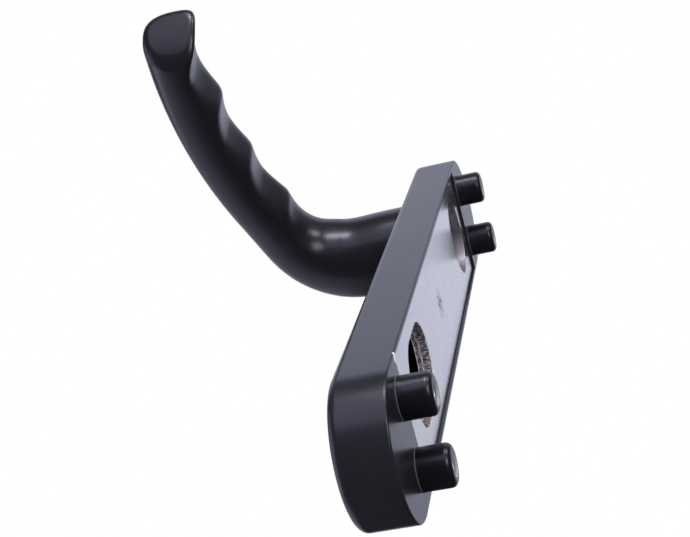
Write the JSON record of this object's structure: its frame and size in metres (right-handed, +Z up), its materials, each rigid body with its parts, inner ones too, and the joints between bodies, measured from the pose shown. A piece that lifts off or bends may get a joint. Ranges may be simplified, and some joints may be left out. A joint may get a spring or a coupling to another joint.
{
  "type": "balcony door handle",
  "caption": "Long-plate lever handle for a balcony door: black cast plate and turning lever with finger grooves, zinc-plated base plate and hollow screw lugs at the back.",
  "frame": {"origin": "middle of the long plate's back face, which lies on the door", "axes": "+Y into the door, +Z up along the plate, +X towards the side that the lever points to"},
  "size_m": [0.109, 0.0773, 0.209],
  "materials": {
    "plate_coat": "satin black powder coat on a zinc casting",
    "lever_coat": "semi-gloss black coat on a casting",
    "lug_black": "glossy black coat on a turned sleeve",
    "zinc_plate": "bright zinc plating with faint colour tints",
    "zinc_screw": "bright zinc plating",
    "sheared_steel": "plated steel with a rough sheared edge",
    "washer_steel": "plain spring steel",
    "bush_polymer": "dark moulded bearing plastic"
  },
  "bodies": {
    "plate": {"plate_shell": "plate_coat", "base_plate": "zinc_plate", "inner_plate": "sheared_steel", "base_plate_screw": "zinc_screw", "screw_lug_upper_near": "lug_black", "screw_lug_upper_far": "lug_black", "screw_lug_lower_near": "lug_black", "screw_lug_lower_far": "lug_black", "neck_bush": "bush_polymer", "thrust_washer": "washer_steel", "wave_washer": "washer_steel"},
    "lever": {"lever": "lever_coat", "stop_ring": "washer_steel", "retaining_ring": "washer_steel"}
  },
  "joints": [
    {"name": "lever_turn", "type": "hinge", "parent": "plate", "child": "lever", "pos_m": [0, -0.013, 0.061], "axis": [0, 1, 0], "range_deg": [-25, 65]}
  ]
}
